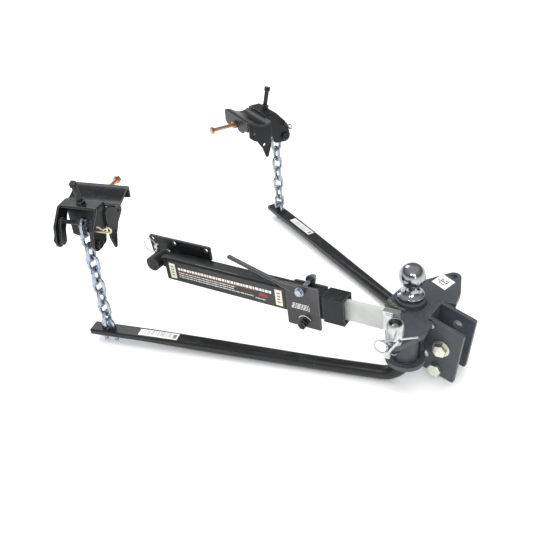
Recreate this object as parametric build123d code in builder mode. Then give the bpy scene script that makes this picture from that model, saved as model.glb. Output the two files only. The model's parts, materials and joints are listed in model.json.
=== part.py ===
"""Weight distribution hitch for a travel trailer, as a set of separate pieces.

Millimetres. +X points forward to the tow vehicle, +Y to the driver's side and +Z up.
The origin is on the hitch ball's axis, on the top face of the plate the ball stands on.
"""
from build123d import *
from math import cos, radians, sin
import os

os.makedirs("parts", exist_ok=True)

# ---- driving dimensions: hitch head ----
BALL_D = 58.7  # 2-5/16 inch hitch ball
BALL_Z = 57.0
BALL_SHANK_D = 31.75
BALL_PAD_R = 34.0
PLATE = 12.0  # wing plate and the round pad under the ball
TAB = (38.0, 140.0)  # sway ball hole in each wing
TAB_R = 17.0
TAB_HOLE_R = 8.2
SOCKET = (36.0, 81.0)  # spring bar socket, one each side
SOCKET_R = 27.0
LOBE_R = 43.5
LOWER_TOP = -94.0  # bottom plate
LOWER_T = 10.0
GAP = 52.0  # between the cheeks, for a 2 inch shank
CHEEK_T = 10.0
CHEEK_X = 60.0
SHANK_BOLT_R = 9.5
UPPER_BOLT = (98.0, -76.0)
LOWER_BOLT = (90.0, -138.0)
SPARE_HOLE = (103.5, -49.0)  # far cheek only
WASHER_R, FAR_WASHER_R = 20.0, 17.0

# ---- driving dimensions: spring bars, chains and lift brackets ----
SPLAY = 21.9  # degrees, spring bar from the centre line
BAR_REACH = 726.0  # socket axis to chain
BAR_R = 16.0
BAR_TOP = -137.0
BEND_R = 50.0
TIP_W, TIP_T = 37.0, 15.0
WIRE = 9.0  # chain wire
LINK_W = 34.0
PITCH = 32.3
LINKS = 9
ARCH_Z = -112.0  # centre of the U-bolt's wire over the bar
U_WIRE_R = 5.0
U_HALF = 14.0
ROD = (0.0, 162.0)  # lever's cross rod: outboard, up
ROD_R = 5.0
HAIR_R, HAIR_END, HAIR_GAP = 2.6, 68.0, 12.0  # hair pin: radius, turning point, width
PIVOT = (12.0, 119.0)  # lever's pivot: outboard, up
PIVOT_R = 6.0
ARM_FRONT, ARM_REAR, ARM_T = 29.0, -66.0, 5.0
BOSS_R = 17.0
PIN_HOLE = (12.0, 152.0)  # hair pin through the front arm: outboard, up
SHEET = 5.0
SADDLE_TOP = 193.0
SADDLE_REAR, SADDLE_FRONT = -75.0, 60.0
SADDLE_IN, SADDLE_OUT = -122.0, -48.0
SCREW_TILT = 13.0
SCREW_R = 6.0

# ---- driving dimensions: friction sway control ----
SWAY_BALL_R = 15.875  # 1-1/4 inch ball
STUD_R = 8.0
SWAY_YAW, SWAY_PITCH = 6.4, 3.7  # degrees
SWAY_BALL_Z = 17.0
SWAY_Z = 15.0  # slider bar's axis under the ball's centre
SLIDE_IN = -25.6  # slider bar's middle, inboard of the ball
SLIDER_T, SLIDER_LOW, SLIDER_HIGH = 10.0, -22.0, 30.0
SLIDER_REAR = -500.0
CASE_REAR, CASE_FRONT = -608.0, -118.0
CASE_LOW, CASE_HIGH = -27.0, 35.0
CASE_W, CASE_WALL = 36.0, 3.5
COLLAR_REAR, COLLAR_T = -168.0, 2.5  # thicker sleeve round the case's mouth
CLAMP_REAR, CLAMP_FRONT, CLAMP_LOW, CLAMP_HIGH = -259.0, -175.0, -56.0, 54.0
HANDLE_BOLT = (-217.0, 43.0)
ADJUSTER = (-215.0, -42.0)
BOLT_R = 5.0  # handle bolt and adjusting bolt
REAR_BALL = (-632.0, 22.0)
BARREL_R, BORE_R, MOUTH_R = 18.5, 16.2, 13.2

RUN = 0.08  # radial running clearance of a pin in its hole


def save(piece, name):
    """Label one finished piece and write it."""
    piece.part.label = name
    export_step(piece.part, f"parts/{name}.step")


def save_pair(piece, name):
    """Write the driver's side piece and its mirror image on the passenger's side."""
    save(piece, f"left_{name}")
    with BuildPart() as twin:
        mirror(piece.part, about=Plane.XZ)
    save(twin, f"right_{name}")


def save_together(piece, name):
    """Write identical fasteners of both sides as separate solids of one piece."""
    with BuildPart() as both:
        add(piece.part)
        mirror(piece.part, about=Plane.XZ)
    save(both, name)


def across_y(y):
    """Upright plane facing -Y: sketch x is +X, sketch y is +Z."""
    return Plane(origin=(0, y, 0), x_dir=(1, 0, 0), z_dir=(0, -1, 0))


# ======================= hitch head =======================

with BuildPart() as wing_plate:
    with BuildSketch(Plane.XY.offset(-2 * PLATE)):
        with BuildLine():
            Polyline(
                (-44, -36), (-44, 36), (-8, 98), (24, 149), (53, 149), (79, 88), (87, 46),
                (CHEEK_X, GAP / 2 + CHEEK_T), (CHEEK_X, -GAP / 2 - CHEEK_T),
                (75, -43), (79, -88), (53, -149), (24, -149), (-8, -98), close=True,
            )
        make_face()
        with Locations(TAB, (TAB[0], -TAB[1])):
            Circle(TAB_R)
            Circle(TAB_HOLE_R, mode=Mode.SUBTRACT)
        Circle(BALL_SHANK_D / 2 + 0.4, mode=Mode.SUBTRACT)
    extrude(amount=PLATE)
    fillet(wing_plate.edges().filter_by(Axis.Z).filter_by_position(Axis.X, -50, -5), 8)
    chamfer(wing_plate.faces().sort_by(Axis.Z)[-1].edges(), 0.8)
save(wing_plate, "wing_plate")

with BuildPart() as ball_plate:
    with BuildSketch(Plane.XY.offset(-PLATE)):
        Circle(BALL_PAD_R)
        Circle(BALL_SHANK_D / 2 + 0.4, mode=Mode.SUBTRACT)
    extrude(amount=PLATE)
    chamfer(ball_plate.faces().sort_by(Axis.Z)[-1].edges().sort_by(Edge.length)[-1], 1.2)
save(ball_plate, "ball_plate")

with BuildPart() as bottom_plate:
    with BuildSketch(Plane.XY.offset(LOWER_TOP - LOWER_T)):
        with Locations(SOCKET, (SOCKET[0], -SOCKET[1])):
            Circle(LOBE_R)
        with Locations(((CHEEK_X - 4) / 2, 0)):
            Rectangle(CHEEK_X + 4, 2 * SOCKET[1])
        with Locations(SOCKET, (SOCKET[0], -SOCKET[1])):
            Circle(BAR_R + 0.5, mode=Mode.SUBTRACT)
        Circle(30, mode=Mode.SUBTRACT)
    extrude(amount=LOWER_T)
    chamfer(bottom_plate.faces().sort_by(Axis.Z)[0].edges().sort_by(Edge.length)[-1], 0.8)
save(bottom_plate, "bottom_plate")

with BuildPart() as socket:
    with BuildSketch(Plane.XY.offset(LOWER_TOP)):
        with Locations(SOCKET):
            Circle(SOCKET_R)
            Circle(BAR_R + RUN, mode=Mode.SUBTRACT)
    extrude(amount=-2 * PLATE - LOWER_TOP)
save_pair(socket, "bar_socket")

with BuildPart() as rear_web:
    with BuildSketch(Plane.XY.offset(LOWER_TOP)):
        with Locations((CHEEK_X - 5, 0)):
            Rectangle(10, 2 * (SOCKET[1] - SOCKET_R) + 4)
        with Locations(SOCKET, (SOCKET[0], -SOCKET[1])):
            Circle(SOCKET_R, mode=Mode.SUBTRACT)
    extrude(amount=-2 * PLATE - LOWER_TOP)
save(rear_web, "rear_web")

with BuildPart() as cheek:
    with BuildSketch(across_y(GAP / 2 + CHEEK_T)):
        with BuildLine():
            Polyline((CHEEK_X, -9), (144, -27), (133, -162), (CHEEK_X, -149), close=True)
        make_face()
        fillet(vertices().group_by(Axis.X)[-1], 5)
        fillet(vertices().sort_by(Axis.X)[-3:-2], 5)
        with Locations(UPPER_BOLT, LOWER_BOLT):
            Circle(SHANK_BOLT_R + 0.4, mode=Mode.SUBTRACT)
    extrude(amount=CHEEK_T)

with BuildPart() as left_cheek:
    add(cheek.part)
    with BuildSketch(across_y(GAP / 2 + CHEEK_T)):
        with Locations(SPARE_HOLE):
            Circle(SHANK_BOLT_R + 0.4)
    extrude(amount=CHEEK_T, mode=Mode.SUBTRACT)
save(left_cheek, "left_cheek")

with BuildPart() as right_cheek:
    mirror(cheek.part, about=Plane.XZ)
save(right_cheek, "right_cheek")

with BuildPart() as hitch_ball:
    with BuildSketch(Plane.XZ):
        with BuildLine():
            neck_r, top_z = 17.0, BALL_Z + BALL_D / 2 * cos(radians(14))
            flat_r = BALL_D / 2 * sin(radians(14))
            neck_z = BALL_Z - (BALL_D**2 / 4 - neck_r**2) ** 0.5
            Polyline((0, top_z), (flat_r, top_z))
            ThreePointArc((flat_r, top_z), (BALL_D / 2, BALL_Z), (neck_r, neck_z))
            Line((neck_r, neck_z), (neck_r, 24))
            Spline((neck_r, 24), (20, 17), (30, 10), tangents=((0, -1), (1, -0.25)))
            Polyline((30, 10), (30, 5), (27, 5), (27, 0), (BALL_SHANK_D / 2, 0),
                     (BALL_SHANK_D / 2, -64), (BALL_SHANK_D / 2 - 2, -66), (0, -66), (0, top_z))
        make_face()
    revolve(axis=Axis.Z)
save(hitch_ball, "hitch_ball")

with BuildPart() as ball_washer:
    with BuildSketch(Plane.XY.offset(-2 * PLATE - 5)):
        Circle(26)
        Circle(BALL_SHANK_D / 2, mode=Mode.SUBTRACT)
    extrude(amount=5)
save(ball_washer, "ball_lock_washer")

with BuildPart() as ball_nut:
    with BuildSketch(Plane.XY.offset(-2 * PLATE - 5 - 27)):
        RegularPolygon(23.8, 6, major_radius=False)
        Circle(BALL_SHANK_D / 2, mode=Mode.SUBTRACT)
    extrude(amount=27)
save(ball_nut, "ball_nut")


def ring_on(plane, centre, outer, inner, thick):
    """Flat ring standing on a plane at a sketch position."""
    with BuildSketch(plane) as outline:
        with Locations(centre):
            Circle(outer)
            Circle(inner, mode=Mode.SUBTRACT)
    extrude(outline.sketch, amount=thick)


def hex_on(plane, centre, flats, thick, bore=0.0, turn=0.0):
    """Hexagonal head or nut standing on a plane at a sketch position."""
    with BuildSketch(plane) as outline:
        with Locations(centre):
            RegularPolygon(flats / 2, 6, major_radius=False, rotation=turn)
            if bore:
                Circle(bore, mode=Mode.SUBTRACT)
    extrude(outline.sketch, amount=thick)


def disc_on(plane, centre, radius, thick, mode=Mode.ADD):
    """Round bar standing on a plane at a sketch position."""
    with BuildSketch(plane) as outline:
        with Locations(centre):
            Circle(radius)
    extrude(outline.sketch, amount=thick, mode=mode)


CHEEK_OUT = GAP / 2 + CHEEK_T
near_face = across_y(-CHEEK_OUT)
far_face = across_y(CHEEK_OUT)
WASHER_T, NUT_T, HEAD_T = 4.0, 16.0, 12.0

with BuildPart() as shank_washers:
    ring_on(near_face, UPPER_BOLT, WASHER_R, SHANK_BOLT_R, WASHER_T)
    for bolt in (UPPER_BOLT, LOWER_BOLT):
        ring_on(far_face, bolt, FAR_WASHER_R, SHANK_BOLT_R, -WASHER_T)
save(shank_washers, "shank_washers")

with BuildPart() as upper_shank_bolt:
    disc_on(near_face.offset(WASHER_T), UPPER_BOLT, SHANK_BOLT_R, -2 * CHEEK_OUT - WASHER_T - 24)
    hex_on(near_face.offset(WASHER_T), UPPER_BOLT, 28.5, HEAD_T, turn=15)
    chamfer(upper_shank_bolt.faces().sort_by(Axis.Y)[0].edges(), 1.5)
save(upper_shank_bolt, "upper_shank_bolt")

with BuildPart() as lower_shank_bolt:
    disc_on(near_face, LOWER_BOLT, SHANK_BOLT_R, -2 * CHEEK_OUT - 24)
    hex_on(near_face, LOWER_BOLT, 28.5, HEAD_T, turn=5)
    chamfer(lower_shank_bolt.faces().sort_by(Axis.Y)[0].edges(), 1.5)
save(lower_shank_bolt, "lower_shank_bolt")

with BuildPart() as shank_nuts:
    for bolt in (UPPER_BOLT, LOWER_BOLT):
        hex_on(far_face.offset(-WASHER_T), bolt, 28.5, -NUT_T, bore=SHANK_BOLT_R)
save(shank_nuts, "shank_nuts")

with BuildPart() as sway_ball:
    with BuildSketch(Plane(origin=(TAB[0], -TAB[1], 0), x_dir=(1, 0, 0), z_dir=(0, -1, 0))):
        with BuildLine():
            join_z = SWAY_BALL_Z - (SWAY_BALL_R**2 - STUD_R**2) ** 0.5
            low = -PLATE
            stud_end = -2 * PLATE - 20
            Polyline((0, SWAY_BALL_Z + SWAY_BALL_R), (0, stud_end), (STUD_R, stud_end), (STUD_R, low),
                     (17, low), (17, low + 8), (STUD_R, low + 11.5), (STUD_R, join_z))
            ThreePointArc(
                (STUD_R, join_z), (SWAY_BALL_R, SWAY_BALL_Z), (0, SWAY_BALL_Z + SWAY_BALL_R))
        make_face()
    revolve(axis=Axis((TAB[0], -TAB[1], 0), (0, 0, 1)))
save(sway_ball, "head_sway_ball")

with BuildPart() as sway_ball_nut:
    hex_on(Plane.XY.offset(-2 * PLATE), (TAB[0], -TAB[1]), 24, -13, bore=STUD_R)
save(sway_ball_nut, "head_sway_ball_nut")

# ======================= spring bars =======================

along = (-cos(radians(SPLAY)), sin(radians(SPLAY)), 0)  # driver's side bar, towards its tip
bar_plane = Plane(origin=(*SOCKET, 0), x_dir=along, z_dir=Vector(along).cross(Vector(0, 0, 1)))
BAR_Z = BAR_TOP - BAR_R


def bar_section(reach):
    """Plane square to the bar: sketch y is up."""
    across = Vector(0, 0, 1).cross(Vector(along))
    return Plane(origin=bar_plane.from_local_coords((reach, 0, 0)), x_dir=across, z_dir=along)


with BuildPart() as spring_bar:
    with BuildLine(bar_plane):
        trunnion = Line((0, -2 * PLATE - 2), (0, BAR_Z + BEND_R))
        CenterArc((BEND_R, BAR_Z + BEND_R), BEND_R, 180, 90)
        Line((BEND_R, BAR_Z), (200, BAR_Z))
    with BuildSketch(Plane(origin=trunnion @ 0, x_dir=along, z_dir=(0, 0, -1))):
        Circle(BAR_R)
    sweep()
    for reach, width, thick, corner in ((200, 32, 32, 15.9), (430, 34, 24, 8), (620, TIP_W, TIP_T, 4)):
        with BuildSketch(bar_section(reach)):
            with Locations((0, BAR_TOP - thick / 2)):
                RectangleRounded(width, thick, corner)
    loft(ruled=True)
    with BuildSketch(bar_section(620)):
        with Locations((0, BAR_TOP - TIP_T / 2)):
            RectangleRounded(TIP_W, TIP_T, 4)
    extrude(amount=BAR_REACH + 44 - 620)
    tip = Plane(origin=bar_plane.from_local_coords((BAR_REACH, 0, 0)), x_dir=along, z_dir=(0, 0, 1))
    with BuildSketch(tip.offset(BAR_TOP + 10)):
        with Locations((-U_HALF, 0), (U_HALF, 0)):
            Circle(U_WIRE_R + 0.3)
    extrude(amount=-60, mode=Mode.SUBTRACT)
save_pair(spring_bar, "spring_bar")

arch_plane = Plane(origin=tip.origin, x_dir=along, z_dir=bar_plane.z_dir)
with BuildPart() as u_bolt:
    with BuildLine(arch_plane):
        leg = Line((-U_HALF, BAR_TOP - TIP_T - 20), (-U_HALF, ARCH_Z - U_HALF))
        ThreePointArc((-U_HALF, ARCH_Z - U_HALF), (0, ARCH_Z), (U_HALF, ARCH_Z - U_HALF))
        Line((U_HALF, ARCH_Z - U_HALF), (U_HALF, BAR_TOP - TIP_T - 20))
    with BuildSketch(Plane(origin=leg @ 0, x_dir=along, z_dir=(0, 0, 1))):
        Circle(U_WIRE_R)
    sweep()
save_pair(u_bolt, "u_bolt")

with BuildPart() as u_bolt_nuts:
    for side in (-U_HALF, U_HALF):
        hex_on(tip.offset(BAR_TOP - TIP_T), (side, 0), 17, -9, bore=U_WIRE_R)
save_pair(u_bolt_nuts, "u_bolt_nuts")

# ======================= lift brackets and chains =======================
# Bracket axes on the driver's side: u forward along the trailer rail, v outboard, z up.
# They start over the spring bar's U-bolt.

u_dir = (cos(radians(SPLAY)), -sin(radians(SPLAY)), 0)
v_dir = (sin(radians(SPLAY)), cos(radians(SPLAY)), 0)
rail = Plane(origin=(tip.origin.X, tip.origin.Y, 0), x_dir=u_dir, z_dir=(0, 0, 1))


def facing_u(u):
    """Upright plane square to the rail: sketch x is outboard, sketch y is up."""
    return Plane(origin=rail.from_local_coords((u, 0, 0)), x_dir=v_dir, z_dir=u_dir)


def facing_in(v):
    """Upright plane along the rail, facing inboard: sketch x is forward, sketch y is up."""
    inboard = tuple(-c for c in v_dir)
    return Plane(origin=rail.from_local_coords((0, v, 0)), x_dir=u_dir, z_dir=inboard)


# saddle's S-curve: outboard, up
WAVE = ((SADDLE_IN, 5), (-105, 3), (-86, -7), (-66, -12), (SADDLE_OUT, -6))
LIP_TOP = SADDLE_TOP + WAVE[0][1]
LIP_LOW = SADDLE_TOP - 34
RAIL_BOLT = (-12.0, SADDLE_TOP - 20)

with BuildPart() as saddle:
    with BuildSketch(facing_u(SADDLE_REAR)):
        with BuildLine():
            top = Spline(*[(v, SADDLE_TOP + rise) for v, rise in WAVE])
            under = Spline(*[(v, SADDLE_TOP + rise - SHEET) for v, rise in WAVE])
            Line(top @ 0, under @ 0)
            Line(top @ 1, under @ 1)
        make_face()
    extrude(amount=SADDLE_FRONT - SADDLE_REAR)
    with BuildSketch(facing_in(SADDLE_IN + SHEET)):
        with BuildLine():
            Polyline((SADDLE_REAR, LIP_TOP - 1), (SADDLE_REAR, LIP_LOW + 8), (-64, LIP_LOW), (-16, LIP_LOW),
                     (-6, LIP_LOW + 12), (4, LIP_LOW), (30, LIP_LOW), (36, LIP_LOW + 10),
                     (SADDLE_FRONT, LIP_LOW + 12), (SADDLE_FRONT, LIP_TOP - 1), close=True)
        make_face()
        with Locations(RAIL_BOLT):
            Circle(6, mode=Mode.SUBTRACT)
    extrude(amount=SHEET)
save_pair(saddle, "bracket_saddle")

with BuildPart() as front_plate:
    with BuildSketch(facing_u(ARM_FRONT + ARM_T)):
        with BuildLine():
            dip = [(v, SADDLE_TOP + rise - SHEET - 0.6) for v, rise in WAVE[1:]]
            edge = Spline(*dip)
            Polyline(edge @ 0, (dip[0][0], 142), (-91, 131), (-82, 126), (-66, 102), (-56, 72), (-49, 72),
                     (-38, 104), (-33, 150), (-35, 172), edge @ 1)
        make_face()
        with Locations((-90, 150), (-60, 112)):
            Circle(4, mode=Mode.SUBTRACT)
    extrude(amount=ARM_T)
save_pair(front_plate, "bracket_front_plate")

WEB_IN, WEB_OUT, WEB_TOP = SADDLE_OUT, -14.0, 195.0
WEB_T = 6.0
lean = sin(radians(SCREW_TILT))
screw_axis = (v_dir[0] * lean, v_dir[1] * lean, cos(radians(SCREW_TILT)))
screw_plane = Plane(origin=rail.from_local_coords((-11, -26, WEB_TOP)), x_dir=u_dir, z_dir=screw_axis)

with BuildPart() as yoke:
    with BuildSketch(rail.offset(WEB_TOP - WEB_T)):
        with Locations(((ARM_REAR + ARM_FRONT + ARM_T) / 2, (WEB_IN + WEB_OUT) / 2)):
            Rectangle(ARM_FRONT + ARM_T - ARM_REAR, WEB_OUT - WEB_IN)
    extrude(amount=WEB_T)
    for arm, heel in ((ARM_REAR, PIVOT), (ARM_FRONT, (-16, 114))):
        with BuildSketch(facing_u(arm)):
            with Locations(PIVOT):
                Circle(BOSS_R)
            with Locations(PIN_HOLE):
                Circle(10)
            with Locations(heel):
                Circle(10)
            with Locations(((WEB_IN + WEB_OUT) / 2, WEB_TOP - 8)):
                Rectangle(WEB_OUT - WEB_IN, 16)
            make_hull()
            with Locations(PIVOT):
                Circle(PIVOT_R + RUN, mode=Mode.SUBTRACT)
            if arm == ARM_FRONT:
                with Locations(PIN_HOLE):
                    Circle(HAIR_R + RUN, mode=Mode.SUBTRACT)
        extrude(amount=ARM_T)
    with BuildSketch(facing_in(WEB_IN + ARM_T)):
        with BuildLine():
            Polyline((ARM_REAR + 1, WEB_TOP - 2), (ARM_REAR + 1, 102), (-40, 95), (-15, 108),
                     (ARM_FRONT + 1, 160), (ARM_FRONT + 1, WEB_TOP - 2), close=True)
        make_face()
    extrude(amount=ARM_T)
    fillet(yoke.faces().sort_by(Axis.Z)[-1].edges().filter_by(lambda e: abs(e.length - 34) < 1), 4)
    with BuildSketch(screw_plane.offset(-20)):
        Circle(SCREW_R + RUN)
    extrude(amount=40, mode=Mode.SUBTRACT)
save_pair(yoke, "bracket_yoke")

with BuildPart() as set_screw:
    with BuildSketch(screw_plane.offset(-12)):
        Circle(SCREW_R)
    extrude(amount=70)
    with BuildSketch(screw_plane.offset(52)):
        RectangleRounded(13, 13, 1.5)
    extrude(amount=12)
save_pair(set_screw, "set_screw")

with BuildPart() as screw_nut:
    hex_on(screw_plane.offset(2.5), (0, 0), 20, 10, bore=SCREW_R + RUN)
save_together(screw_nut, "set_screw_nuts")

STRAP_FRONT, STRAP_REAR, STRAP_T = 20.0, -57.0, 5.0
with BuildPart() as lever:
    for strap in (STRAP_REAR, STRAP_FRONT):
        with BuildSketch(facing_u(strap)):
            with Locations(PIVOT):
                Circle(11)
            with Locations(ROD):
                Circle(9)
            make_hull()
            with Locations(PIVOT):
                Circle(PIVOT_R + RUN, mode=Mode.SUBTRACT)
        extrude(amount=STRAP_T)
    disc_on(facing_u(STRAP_REAR), ROD, ROD_R, STRAP_FRONT - STRAP_REAR + STRAP_T)
    for collar in (-11.0, 8.0):
        ring_on(facing_u(collar), ROD, 9, ROD_R, 3)
save_pair(lever, "lift_lever")

with BuildPart() as pivots:
    disc_on(facing_u(STRAP_REAR + STRAP_T + 1), PIVOT, PIVOT_R, ARM_REAR - STRAP_REAR - STRAP_T - 8)
    hex_on(facing_u(ARM_REAR - 1), PIVOT, 19, -7)
    disc_on(facing_u(STRAP_FRONT + 0.5), PIVOT, PIVOT_R, ARM_FRONT - STRAP_FRONT + ARM_T + 6.5)
    hex_on(facing_u(ARM_FRONT + ARM_T + 1), PIVOT, 19, 7)
save_together(pivots, "lever_pivots")

with BuildPart() as hair_pin:
    disc_on(facing_u(ARM_FRONT - 3), PIN_HOLE, HAIR_R, HAIR_END - ARM_FRONT + 3)
    back = (HAIR_END, PIN_HOLE[1] + HAIR_GAP)
    with BuildLine(facing_in(PIN_HOLE[0])) as bend:
        ThreePointArc(
            (HAIR_END, PIN_HOLE[1]), (HAIR_END + HAIR_GAP / 2, PIN_HOLE[1] + HAIR_GAP / 2), back)
    with BuildSketch(facing_u(HAIR_END)) as wire:
        with Locations(PIN_HOLE):
            Circle(2.0)
    sweep(wire.sketch, path=bend.wire())
    with BuildLine(facing_in(PIN_HOLE[0])) as spring:
        Spline(
            back, (HAIR_END - 15, back[1] - 6.5), (HAIR_END - 28, back[1] - 1),
            tangents=((-1, 0), (-1, 0.4)),
        )
    with BuildSketch(facing_u(HAIR_END)) as wire:
        with Locations((PIN_HOLE[0], back[1])):
            Circle(2.0)
    sweep(wire.sketch, path=spring.wire())
save_pair(hair_pin, "hair_pin")

with BuildPart() as rail_bolt:
    disc_on(facing_in(-96), RAIL_BOLT, 5.5, 102)
    hex_on(facing_in(-191), RAIL_BOLT, 18, 8)
save_together(rail_bolt, "rail_bolts")

with BuildPart() as rail_nut:
    hex_on(facing_in(SADDLE_IN), RAIL_BOLT, 18, 9, bore=5.5)
save_together(rail_nut, "rail_bolt_nuts")

INNER = PITCH + 0.3  # link's inside length
TOP_LINK_Z = ROD[1] + ROD_R - INNER / 2


def link(number):
    """One welded chain link; every second one is turned a quarter."""
    flat = facing_u(0) if number % 2 == 0 else facing_in(0)
    centre = TOP_LINK_Z - number * PITCH
    bow = (LINK_W - WIRE) / 2
    straight = (INNER + WIRE) / 2 - bow
    with BuildLine(flat) as centre_line:
        first = Line((bow, centre - straight), (bow, centre + straight))
        ThreePointArc(first @ 1, (0, centre + straight + bow), (-bow, centre + straight))
        other = Line((-bow, centre + straight), (-bow, centre - straight))
        ThreePointArc(other @ 1, (0, centre - straight - bow), first @ 0)
    with BuildSketch(Plane(origin=first @ 0, x_dir=flat.x_dir, z_dir=(0, 0, 1))) as section:
        Circle(WIRE / 2)
    sweep(section.sketch, path=centre_line.wire())


with BuildPart() as top_link:
    link(0)
save_pair(top_link, "chain_top_link")

with BuildPart() as chain:
    for number in range(1, LINKS):
        link(number)
save_pair(chain, "lift_chain")

# ======================= friction sway control =======================
# Its axes: x forward along the slider bar, y up, z outboard, from the sway ball's centre line.

yaw, pitch = radians(SWAY_YAW), radians(SWAY_PITCH)
sway = Plane(
    origin=(TAB[0], -TAB[1], SWAY_Z),
    x_dir=(cos(yaw) * cos(pitch), sin(yaw) * cos(pitch), sin(pitch)),
    z_dir=(sin(yaw), -cos(yaw), 0),
)


def sway_block(x, y, z, mode=Mode.ADD):
    """Rectangular block between two limits on each of the sway control's axes."""
    with BuildSketch(sway.offset(z[0])) as outline:
        with Locations(((x[0] + x[1]) / 2, (y[0] + y[1]) / 2)):
            Rectangle(x[1] - x[0], y[1] - y[0])
    extrude(outline.sketch, amount=z[1] - z[0], mode=mode)


SLIDE_Z = (SLIDE_IN - SLIDER_T / 2, SLIDE_IN + SLIDER_T / 2)
CASE_Z = (SLIDE_IN - CASE_W / 2, SLIDE_IN + CASE_W / 2)
upright = Plane(origin=(TAB[0], -TAB[1], 0), x_dir=(cos(yaw), sin(yaw), 0), z_dir=(0, 0, 1))
BARREL_LOW, BARREL_HIGH = 0.0, 37.0
CLIP_R, CLIP_OFF, CLIP_UP, CLIP_TURN = 2.5, 13.4, 4.0, 36.9  # clip pin's radius, offset, height, angle
clip_x = upright.x_dir.rotate(Axis.Z, CLIP_TURN)
clip_line = Plane(
    origin=upright.from_local_coords((0, 0, CLIP_UP)) + clip_x.rotate(Axis.Z, -90) * CLIP_OFF,
    x_dir=clip_x.rotate(Axis.Z, 90), z_dir=clip_x,
)

with BuildPart() as front_coupler:
    with BuildSketch(Plane(origin=upright.origin, x_dir=upright.x_dir, z_dir=-upright.y_dir)):
        with BuildLine():
            foot = Spline((16.5, BARREL_LOW), (BARREL_R, 10), tangents=((0.3, 1), (0, 1)))
            waist = Line(foot @ 1, (BARREL_R, 22))
            brow = Spline(waist @ 1, (15.5, BARREL_HIGH), tangents=((0, 1), (-0.5, 1)))
            Polyline(
                brow @ 1, (MOUTH_R, BARREL_HIGH), (BORE_R, BARREL_HIGH - 7),
                (BORE_R - 0.4, BARREL_LOW + 2), (BORE_R - 0.4, BARREL_LOW), foot @ 0,
            )
        make_face()
    revolve(axis=Axis(upright.origin, (0, 0, 1)))
    disc_on(clip_line.offset(-30), (0, 0), CLIP_R + RUN, 60, Mode.SUBTRACT)
save(front_coupler, "front_coupler")

TAB_PLATE_REAR = -33.0

with BuildPart() as slider_bar:
    sway_block((SLIDER_REAR, TAB_PLATE_REAR), (SLIDER_LOW, SLIDER_HIGH), SLIDE_Z)
    fillet(slider_bar.edges().filter_by(lambda e: e.length > 400), 1.5)
save(slider_bar, "slider_bar")

with BuildPart() as coupler_tab:
    sway_block((TAB_PLATE_REAR, 1), (SLIDER_LOW + 6, SLIDER_HIGH + 3), (SLIDE_Z[0], -14))
    with BuildSketch(upright.offset(-20)):
        Circle(BARREL_R)
    extrude(amount=80, mode=Mode.SUBTRACT)
    chamfer(coupler_tab.edges().filter_by(lambda e: abs(e.length - 34) < 0.5), 1)
save(coupler_tab, "coupler_tab")


def wire_ring(plane, centre, radius):
    """Thin pull ring of a clip, in a plane at a sketch position."""
    middle = plane.from_local_coords((*centre, 0))
    start = Plane(origin=middle + plane.x_dir * radius, x_dir=plane.x_dir, z_dir=plane.y_dir)
    with BuildSketch(start) as wire:
        Circle(1.3)
    revolve(wire.sketch, axis=Axis(middle, plane.z_dir))


CLIP_BACK, CLIP_FORE = -33.0, 44.3
hang = Plane(  # upright plane the clip's ring and block hang in: x forward, y up
    origin=clip_line.from_local_coords((0, 0, CLIP_BACK)), x_dir=upright.x_dir, z_dir=-upright.y_dir)

with BuildPart() as front_clip:
    disc_on(clip_line.offset(CLIP_BACK), (0, 0), CLIP_R, CLIP_FORE - CLIP_BACK)
    with BuildSketch(hang.offset(-4)):
        with Locations((18, -27)):
            RectangleRounded(10, 17, 2)
        with BuildLine():
            Polyline((16, -22), (21, -22), (42, 17), (38, 19), close=True)
        make_face()
    extrude(amount=8)
    wire_ring(hang, (2, -13.5), 15)
save(front_clip, "front_clip_pin")

with BuildPart() as friction_case:
    sway_block((CASE_REAR, CASE_FRONT), (CASE_LOW, CASE_HIGH), CASE_Z)
    fillet(friction_case.edges().filter_by(lambda e: e.length > 400), 4)
    sway_block(
        (COLLAR_REAR, CASE_FRONT), (CASE_LOW - COLLAR_T, CASE_HIGH + COLLAR_T),
        (CASE_Z[0] - COLLAR_T, CASE_Z[1] + COLLAR_T),
    )
    fillet(friction_case.edges().filter_by(lambda e: abs(e.length - CASE_FRONT + COLLAR_REAR) < 0.1), 2)
    inner = (CASE_Z[0] + CASE_WALL, CASE_Z[1] - CASE_WALL)
    sway_block(
        (CASE_REAR + 5, CASE_FRONT + 1), (CASE_LOW + CASE_WALL, CASE_HIGH - CASE_WALL), inner, Mode.SUBTRACT
    )
save(friction_case, "friction_case")

with BuildPart() as brake_pads:
    pad_y = (SLIDER_LOW + 2, SLIDER_HIGH - 2)
    sway_block((-290, -130), pad_y, (SLIDE_Z[1] + 0.3, inner[1]))
    sway_block((-290, -130), pad_y, (inner[0], SLIDE_Z[0] - 0.3))
save(brake_pads, "brake_pads")

CLAMP_T = 5.0
for name, start, top in (
    ("clamp_plate_outer", CASE_Z[1], CLAMP_HIGH), ("clamp_plate_inner", CASE_Z[0] - CLAMP_T, CASE_HIGH + 1),
):
    with BuildPart() as clamp_plate:
        with BuildSketch(sway.offset(start)):
            with Locations(((CLAMP_REAR + CLAMP_FRONT) / 2, (CLAMP_LOW + top) / 2)):
                RectangleRounded(CLAMP_FRONT - CLAMP_REAR, top - CLAMP_LOW, 4)
            with Locations(HANDLE_BOLT):
                Circle(12)
            with Locations(HANDLE_BOLT, ADJUSTER):
                Circle(BOLT_R + RUN, mode=Mode.SUBTRACT)
        extrude(amount=CLAMP_T)
    save(clamp_plate, name)

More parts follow.
